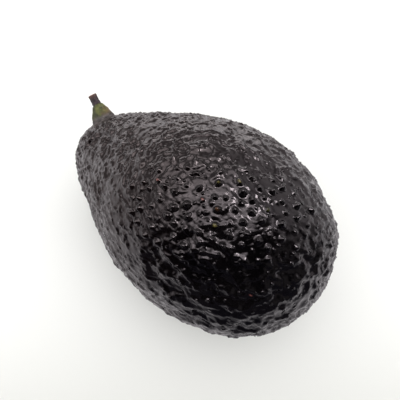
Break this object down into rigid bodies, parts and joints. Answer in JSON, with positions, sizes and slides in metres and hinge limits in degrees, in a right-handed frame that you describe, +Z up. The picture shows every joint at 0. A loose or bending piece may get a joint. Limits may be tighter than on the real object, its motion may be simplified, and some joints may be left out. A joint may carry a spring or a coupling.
{
  "type": "avocado",
  "caption": "Whole avocado with dark, glossy, pebbled skin, lying on its side, with a short cut stalk on its neck.",
  "frame": {"origin": "on the surface that the fruit rests on, under the middle of the part's box", "axes": "+X along the fruit from the stem end to the blossom end, +Z up"},
  "size_m": [0.1022, 0.0658, 0.0652],
  "materials": {
    "skin": "glossy near-black pebbled skin with a faint purple-brown cast",
    "green_stalk": "satin olive green with brown blushes",
    "woody_stalk": "matte dark purplish brown bark with a pinkish cut end"
  },
  "bodies": {
    "root": {"fruit": "skin", "stem_collar": "green_stalk", "stem_stub": "woody_stalk"}
  },
  "joints": []
}
